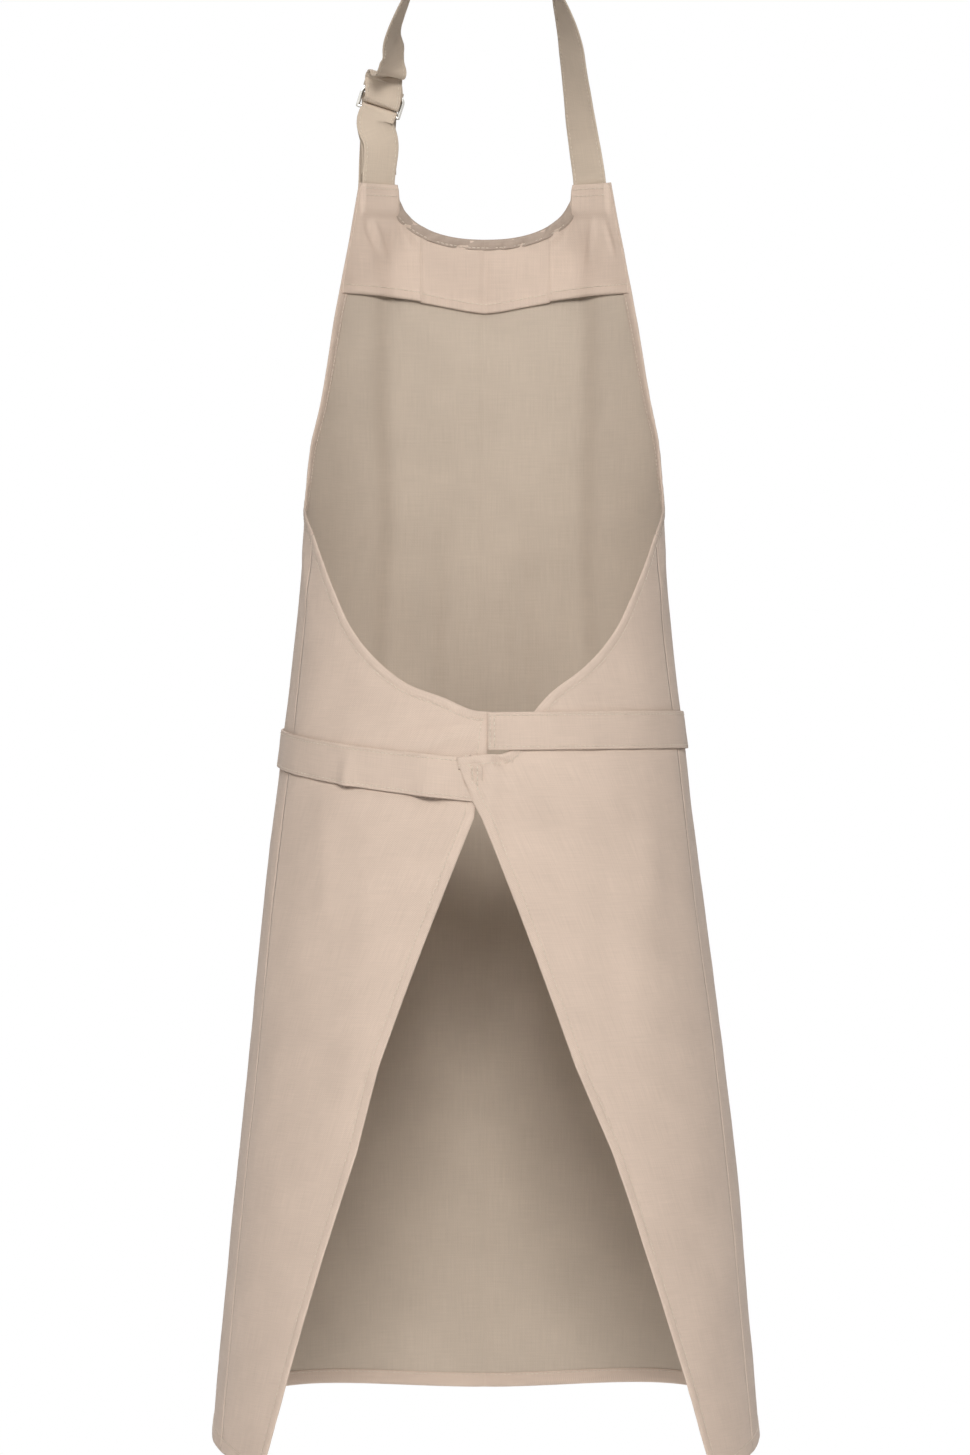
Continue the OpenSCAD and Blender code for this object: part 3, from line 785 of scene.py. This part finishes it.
# ---------------------------------------------------------------- bands: ties and straps
BAND_PROFILE = [(-1.0, 0.0), (-0.985, 0.36), (-0.94, 0.5), (-0.86, 0.46), (-0.82, 0.40),
                (-0.77, 0.47), (-0.5, 0.52), (0, 0.53), (0.5, 0.52), (0.77, 0.47), (0.82, 0.40),
                (0.86, 0.46), (0.94, 0.5), (0.985, 0.36), (1.0, 0.0)]
BAND_RING = BAND_PROFILE + [(c, -o) for c, o in BAND_PROFILE[-2:0:-1]]
STITCH_INSET = 0.82
TIE_LIFT = 1.25


def billow(angle, across, spots):
    """How far a tie's lower edge stands off at some angles."""
    return (1 - across) / 2 * sum(out * bump(angle, at, wide) for at, wide, out in spots)


def wrapped_tie(name, angle, middle_h, half, side, node, seed, spots):
    """A tie that lies on the cloth, running round the wearer."""
    half = np.broadcast_to(half, angle.shape)
    along = angle * PER_DEGREE

    def stand_off(across):
        ripple = 0.35 * lattice_noise(along, np.full_like(angle, across * 9), 14, 7, seed)
        return TIE_LIFT + TIE_T / 2 + ripple + billow(angle, across, spots)

    rings, uv = [], []
    for c, o in BAND_RING:
        rings.append(skin(middle_h + c * half, side * angle, stand_off(c) + o * TIE_T))
        uv.append(np.stack([c * half, along], axis=-1))
    rings, uv = np.stack(rings, axis=1), np.stack(uv, axis=1)
    if side == LEFT:
        rings, uv = rings[:, ::-1], uv[:, ::-1]
    piece = sweep(name, rings, TIE_TWILL, uv)
    on_apron(piece, "strap_twill", node)
    for edge in (-STITCH_INSET, STITCH_INSET):
        offset = stand_off(edge) + 0.42 * TIE_T
        points = skin(middle_h + edge * half, side * angle, offset)
        normals = skin(middle_h + edge * half, side * angle, offset + 1) - points
        row = stitches(f"{name}_stitches_{'low' if edge < 0 else 'high'}", points, normals, THREAD)
        on_apron(row, "thread")


TIE_END_ANGLE = 3
TIE_FRONT_H = 489


def waist_ties():
    """Each tie starts at its tip and runs round to the bow."""
    angle = np.linspace(179.3, TIE_END_ANGLE, 330)
    middle = curve(angle, [(0, TIE_FRONT_H), (90, 495), (184, WAIST_H)])
    wrapped_tie("tie_from_left_tip", angle, middle, STRAP_W / 2, RIGHT, "waist_tie_right", 31,
                [(150, 4, 0.6)])
    angle = np.linspace(179.4, TIE_END_ANGLE, 330)
    middle = curve(angle, [(0, TIE_FRONT_H), (90, 482), (172, 461), (180, 459)])
    half = curve(angle, [(0, STRAP_W / 2), (90, STRAP_W / 2), (172, 15.3), (180, 15.6)])
    wrapped_tie("tie_from_right_tip", angle, middle, half, LEFT, "waist_tie_left", 32,
                [(139.5, 3, 4.0), (165, 4, 4.5)])


waist_ties()


def sew(rows, node):
    """Fixes rows of stitches to the apron; the first stands in for the node."""
    on_apron(rows[0], "thread", node)
    for row in rows[1:]:
        on_apron(row, "thread")


def stitch_marks():
    """Short rows of stitches that hold the ties to the tips and the straps to the shoulders."""
    marks = [("tie_stitches_left", LEFT, (176.6, 178.0), 452, 470, LAP_LIFT + CLOTH_T),
             ("tie_stitches_right", RIGHT, (177.4, 178.6), 483, 505, TIE_LIFT + TIE_T * 0.97)]
    for node, side, angles, low, high, lift in marks:
        rows = []
        for n, angle in enumerate(angles):
            h = np.linspace(low, high, 12)
            points = skin(h, side * angle, lift)
            rows.append(stitches(f"{node}_{n}", points, skin(h, side * angle, lift + 1) - points,
                                 THREAD, length=2.9, pitch=3.6, thick=0.42))
        sew(rows, node)
    for side_name, side in SIDES.items():
        node = "strap_stitches_" + side_name
        rows = []
        for face, offset in (("out", CLOTH_T), ("in", -3.25)):
            for n, h in enumerate((BIB_H - 4, BIB_H - 9)):
                angle = np.linspace(30.5, 43.5, 14)
                points = skin(h, side * angle, offset)
                away = skin(h, side * angle, offset + (1 if face == "out" else -1)) - points
                rows.append(stitches(f"{node}_{face}_{n}", points, away, THREAD))
        sew(rows, node)


stitch_marks()


def spline(points, count):
    """Smooth run through given points."""
    points = np.array(points, float)
    t = np.linspace(0, len(points) - 1, count)
    knots = np.arange(len(points))
    return np.stack([curve(t, list(zip(knots, points[:, k]))) for k in range(3)], axis=-1)


def band(name, route, hints, width, thick, count, body, node, seed=1, wave=0.25):
    """A strap along a route in space, its width along the hints, with a stitch row by each edge."""
    path = spline(route, count)
    along = unit(np.gradient(path, axis=0))
    hint = spline(hints, count)
    across = unit(hint - (hint * along).sum(1, keepdims=True) * along)
    through = np.cross(across, along)
    distance = np.concatenate([[0], np.cumsum(np.linalg.norm(np.diff(path, axis=0), axis=1))])
    rings, uv = [], []
    for c, o in BAND_RING:
        ripple = wave * lattice_noise(distance, np.full_like(distance, c * 9), 13, 7, seed)
        rings.append(path + across * c * width / 2 + through * (o * thick + ripple)[:, None])
        uv.append(np.stack([np.full_like(distance, c * width / 2), distance], axis=-1))
    piece = sweep(name, np.stack(rings, axis=1)[:, ::-1], STRAP_TWILL, np.stack(uv, axis=1)[:, ::-1])
    fixed(piece, body, "strap_twill", node)
    for edge in (-STITCH_INSET, STITCH_INSET):
        for face in (-1, 1):
            ripple = wave * lattice_noise(distance, np.full_like(distance, edge * 9), 13, 7, seed)
            points = (path + across * edge * width / 2
                      + through * (face * 0.42 * thick + ripple)[:, None])
            label = f"{name}_stitches_{'a' if edge < 0 else 'b'}{'in' if face < 0 else 'out'}"
            fixed(stitches(label, points, through * face, THREAD), body, "thread")


def at_heights(points):
    """Points given by their height above the front hem."""
    return [(x, y, h - NAPE_H) for x, y, h in points]


STRAP_T = 1.4
RIGHT_ROUTE = at_heights([(77, 78.9, 879), (77, 77.0, 900), (71, 66, 939), (66, 48, 972),
                          (60, 20, 1006), (47, -22, 1045)])
RIGHT_TURN = [(1, -0.56, 0), (1, -0.54, 0), (0.8, -0.5, -0.2), (0.7, -0.6, -0.3), (0.6, -0.65, -0.4),
              (0.15, -0.8, -0.6)]
NAPE_ROUTE = at_heights([(47, -22, 1045), (28, -46, 1064), (0, -56, 1072), (-28, -46, 1064),
                         (-47, -22, 1045)])
NAPE_TURN = [(0.15, -0.8, -0.6), (0.05, -0.65, -0.75), (0, -0.5, -0.87), (-0.05, -0.65, -0.75),
             (-0.15, -0.8, -0.6)]

RING_TILT = math.radians(18)
RING_AT = np.array((-79, 77, 951 - NAPE_H))
STRAP_ASIDE = 0.7              # the strap sits a little to the right within the rings
UPPER_ASIDE = -4
BAR_DIR = np.array((math.cos(RING_TILT), 0, -math.sin(RING_TILT)))
UP_DIR = unit(np.array((math.sin(RING_TILT), -0.06, math.cos(RING_TILT))))
OUT_DIR = np.cross(UP_DIR, BAR_DIR)


def by_ring(out, up, aside=0):
    """A point by the rings: away from the wearer, up the strap, and along the rings' bars."""
    return tuple(RING_AT + out * OUT_DIR + up * UP_DIR + (STRAP_ASIDE + aside) * BAR_DIR)


WRAP = 4.0                     # how far the stub stands off the bars that it is folded round
STUB_ROUTE = (at_heights([(-77.5, 78.7, 879), (-78.5, 76.6, 900), (-76.5, 75, 926)])
              + [by_ring(-WRAP + 0.4, -9), by_ring(-WRAP, 0), by_ring(-2.2, 2.5),
                 by_ring(2.2, 2.5), by_ring(WRAP, 0), by_ring(WRAP - 0.4, -9)]
              + at_heights([(-78.6, 79.5, 925), (-78.4, 80.3, 905)]))
STUB_TURN = ([(1, 0.55, 0), (1, 0.55, 0), (1, 0.35, -0.1)] + [tuple(BAR_DIR)] * 6
             + [(1, 0.35, -0.1)] * 2)
THREAD_ROUTE = [by_ring(*p) for p in [
    (-5.7, 26, UPPER_ASIDE), (-5.7, 10), (-4.4, 5.8), (-1.6, 4.6), (1.6, 4.6), (4.3, 6.4), (5.1, 11),
    (5, 15.5), (2.7, 17.8), (0.5, 17.2), (0, 15.25), (-0.3, 12.6), (-1.5, 10.4), (-3.2, 10.8),
    (-4.2, 14), (-4.2, 18.5, UPPER_ASIDE / 2), (-2.4, 22.6, UPPER_ASIDE), (1.6, 24, UPPER_ASIDE),
    (5.2, 21, UPPER_ASIDE), (6.3, 16, UPPER_ASIDE)]]
LEFT_ROUTE = ([by_ring(-5.9, 22, UPPER_ASIDE), by_ring(-7.0, 27, UPPER_ASIDE)]
              + at_heights([(-70.5, 54, 977), (-68, 42, 989), (-66, 23, 1006), (-47, -22, 1045)]))
LEFT_TURN = [tuple(BAR_DIR), (0.9, 0.4, -0.2), (0.62, 0.77, -0.1), (0.45, 0.89, 0.0),
             (0.24, 0.96, 0.1), (0.08, 1, 0.2)]
TAIL_DIR = unit(np.array((-0.06, 0.08, -1)))
TAIL_TOP = np.array(by_ring(12, 14, UPPER_ASIDE))
TAIL_LEN = 139
TAIL_SPLIT = 70                # the part below this slides when the loop is let out


def neck_strap():
    """The neck loop from the right shoulder over the nape and through the rings, with its tail."""
    band("strap_right", RIGHT_ROUTE, RIGHT_TURN, STRAP_W, STRAP_T, 90, "apron", "neck_strap_right", 41)
    band("strap_nape", NAPE_ROUTE, NAPE_TURN, STRAP_W, STRAP_T, 60, "neck_arch", "neck_strap_nape", 42)
    band("strap_left", LEFT_ROUTE, LEFT_TURN, STRAP_W, STRAP_T, 50, "apron", "neck_strap_left", 43)
    band("stub", STUB_ROUTE, STUB_TURN, STRAP_W, 1.2, 120, "apron", "strap_stub", 44, 0.1)
    band("threaded", THREAD_ROUTE, [tuple(BAR_DIR)] * len(THREAD_ROUTE), STRAP_W, 1.0, 150, "buckle",
         "strap_threaded", 45, 0.05)
    top, split, end = [tuple(TAIL_TOP + TAIL_DIR * down) for down in (0, TAIL_SPLIT, TAIL_LEN)]
    band("tail_upper", [top, split], [(1, 0.2, -0.2), (1, 0.5, 0)], STRAP_W, STRAP_T, 30, "buckle",
         "strap_tail_upper", 46)
    band("tail_end", [split, end], [(1, 0.5, 0)] * 2, STRAP_W, STRAP_T, 30, "strap_tail",
         "strap_tail_end", 47)


neck_strap()

# ---------------------------------------------------------------- bow at the front
KNOT_Y = float(half_d(TIE_FRONT_H)) + 9
KNOT_Z = TIE_FRONT_H - NAPE_H
LOOP = [(6, -4, 0), (40, -3, -6), (72, -5, -17), (84, 0, -22), (74, 6, -19), (42, 7, -8), (6, 3, 0)]
TIE_END_LEN = 215


def bow():
    """Two loops, two hanging ends and the knot between them."""
    for side_name, side in SIDES.items():
        loop = [(side * x, KNOT_Y + y + 0.02 * x, KNOT_Z + z) for x, y, z in LOOP]
        band("bow_" + side_name, loop, [(side * 0.25, 0, 1)] * len(LOOP), STRAP_W - 4, STRAP_T, 90,
             "apron", "bow_loop_" + side_name, 51 + side)
        end = []
        for k in range(5):
            h = TIE_FRONT_H - 16 - k / 4 * TIE_END_LEN
            end.append((side * (15 + 3 * k), float(half_d(np.array(h))) + 7, h - NAPE_H))
        band("bow_end_" + side_name, end, [(1, -side * 0.1, -side * 0.08)] * 5, STRAP_W, STRAP_T, 60,
             "tie_end_" + side_name, "tie_end_" + side_name, 54 + side)
    turns = np.linspace(-0.5, 0.5, 9)
    knot = [(14 * math.sin(a), KNOT_Y + 6 * math.cos(a) - 1, KNOT_Z) for a in turns * math.pi * 1.5]
    band("knot", knot, [(0, 0, 1)] * 9, 24, 2.2, 50, "apron", "bow_knot", 57)


bow()

for name in ("ring_inner", "ring_outer"):
    ring = bpy.data.objects[name]
    ring.data.materials.clear()
    ring.data.materials.append(NICKEL)

# ---------------------------------------------------------------- room and light
FLOOR_Z = -1.45
FLOOR_REACH = 2.4
LIT_POINT = (0, 0, -0.6)
LIGHT_DISTANCE = 6


def stage_and_light():
    """A pale floor, four soft boxes, and a white surround that lights the apron only faintly."""
    floor_material = bpy.data.materials.new("pale_floor")
    nodes, links, surface = nodes_of(floor_material)
    surface.inputs["Base Color"].default_value = (0.92, 0.92, 0.92, 1)
    surface.inputs["Roughness"].default_value = 0.9
    mesh = bpy.data.meshes.new("floor")
    corners = [(x * FLOOR_REACH, y * FLOOR_REACH, FLOOR_Z)
               for x, y in ((-1, -1), (1, -1), (1, 1), (-1, 1))]
    mesh.from_pydata(corners, [], [(0, 1, 2, 3)])
    mesh.materials.append(floor_material)
    floor = bpy.data.objects.new("floor", mesh)
    bpy.context.scene.collection.objects.link(floor)

    def studio_light(name, azimuth, elevation, size, power):
        """A soft box that aims at the apron; azimuth 0 is behind the camera."""
        a, e = math.radians(azimuth), math.radians(elevation)
        toward = Vector((math.sin(a) * math.cos(e), -math.cos(a) * math.cos(e), math.sin(e)))
        data = bpy.data.lights.new(name, "AREA")
        data.shape = "RECTANGLE"
        data.size, data.size_y = size
        data.energy = power
        light = bpy.data.objects.new(name, data)
        bpy.context.scene.collection.objects.link(light)
        light.location = Vector(LIT_POINT) + toward * LIGHT_DISTANCE
        light.rotation_euler = (-toward).to_track_quat("-Z", "Y").to_euler()

    studio_light("key", 0, 27, (1.8, 1.5), 235)
    studio_light("left", -50, 33, (2.4, 1.6), 95)
    studio_light("right", 50, 33, (2.4, 1.6), 80)
    studio_light("front", 180, 30, (3.0, 2.0), 230)

    world = bpy.data.worlds.new("studio")
    bpy.context.scene.world = world
    world.use_nodes = True
    nodes, links = world.node_tree.nodes, world.node_tree.links
    seen = nodes["Background"]
    seen.inputs["Color"].default_value = (1, 1, 1, 1)
    seen.inputs["Strength"].default_value = 1.0
    ambient = nodes.new("ShaderNodeBackground")
    ambient.inputs["Color"].default_value = (1, 1, 1, 1)
    ambient.inputs["Strength"].default_value = 0.03
    path = nodes.new("ShaderNodeLightPath")
    choose = nodes.new("ShaderNodeMixShader")
    bright = nodes.new("ShaderNodeMath")
    bright.operation = "MAXIMUM"
    links.new(path.outputs["Is Camera Ray"], bright.inputs[0])
    links.new(path.outputs["Is Glossy Ray"], bright.inputs[1])
    links.new(bright.outputs[0], choose.inputs[0])
    links.new(ambient.outputs[0], choose.inputs[1])
    links.new(seen.outputs[0], choose.inputs[2])
    links.new(choose.outputs[0], nodes["World Output"].inputs["Surface"])
    bpy.context.scene.view_settings.view_transform = "Standard"


stage_and_light()
